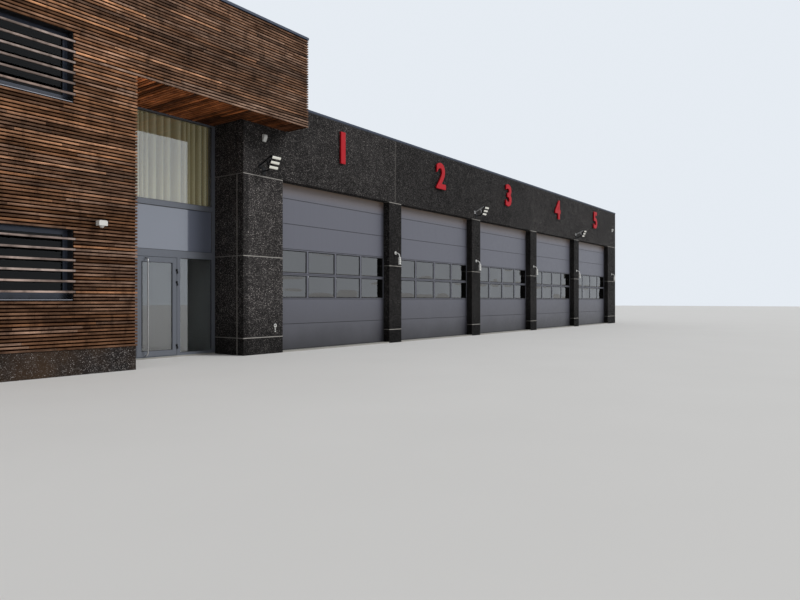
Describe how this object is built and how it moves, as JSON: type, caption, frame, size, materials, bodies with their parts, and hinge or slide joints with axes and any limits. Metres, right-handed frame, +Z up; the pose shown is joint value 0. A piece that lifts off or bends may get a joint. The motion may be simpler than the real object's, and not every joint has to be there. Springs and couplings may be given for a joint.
{
  "type": "fire station building",
  "caption": "Fire station: a row of sectional-door bays in dark precast concrete beside a taller timber-slatted wing that overhangs a recessed glass entrance.",
  "frame": {"origin": "ground level, in the middle of the overall plan", "axes": "+X along the front, from the timber wing to the last door bay; -Y out of the front; +Z up"},
  "size_m": [37.82, 14.08, 7.4048],
  "materials": {
    "precast": "exposed dark aggregate",
    "wall_core": "plain",
    "screed": "smooth",
    "roofing": "matt roofing sheet",
    "door_enamel": "satin",
    "door_glazing": "clear",
    "coping_metal": "satin",
    "timber_slats": "oiled and weathered",
    "soffit_timber": "oiled",
    "frame_metal": "powder coated",
    "window_glazing": "clear",
    "spandrel_enamel": "gloss",
    "steel": "brushed",
    "curtain_cloth": "pleated",
    "lamp_white": "satin white"
  },
  "bodies": {
    "building": {"bay_door_1": "door_enamel", "bay_door_2": "door_enamel", "bay_door_3": "door_enamel", "bay_door_4": "door_enamel", "bay_door_5": "door_enamel", "bay_door_glass": "door_glazing", "curtain": "curtain_cloth", "curtain_rail": "steel", "door_hinge_posts": "steel", "door_piers": "precast", "entrance_glass": "window_glazing", "entrance_header": "wall_core", "entrance_mullions": "frame_metal", "entrance_soffit": "soffit_timber", "entrance_transoms": "frame_metal", "fascia_panels": "precast", "floodlights": "lamp_white", "front_cladding": "timber_slats", "garage_coping": "coping_metal", "garage_end_wall": "precast", "garage_rear_wall": "precast", "garage_roof": "roofing", "ground_floor": "screed", "overhang_front_beam": "wall_core", "overhang_rear_wall": "wall_core", "overhang_side_cladding": "timber_slats", "overhang_side_wall": "wall_core", "pier_lamps": "lamp_white", "rear_cladding": "timber_slats", "recess_cladding": "timber_slats", "recess_side_wall": "wall_core", "shared_wall": "precast", "side_cladding": "timber_slats", "spandrel_panel": "spandrel_enamel", "supply_caps": "lamp_white", "upper_floor": "screed", "wall_camera": "lamp_white", "wall_sensors": "lamp_white", "window_frames": "frame_metal", "window_glass": "window_glazing", "window_louvres": "timber_slats", "wing_coping": "coping_metal", "wing_front_wall": "wall_core", "wing_plinth": "precast", "wing_rear_wall": "wall_core", "wing_roof": "roofing", "wing_side_wall": "wall_core"},
    "entrance_leaf": {"entrance_door": "frame_metal", "entrance_door_glass": "window_glazing", "door_pull": "steel", "door_hinge_leaves": "steel"}
  },
  "joints": [
    {"name": "entrance_door_hinge", "type": "hinge", "parent": "building", "child": "entrance_leaf", "pos_m": [-7.919, -5.1815, 0], "axis": [0, 0, 1], "range_deg": [0, 90]}
  ]
}
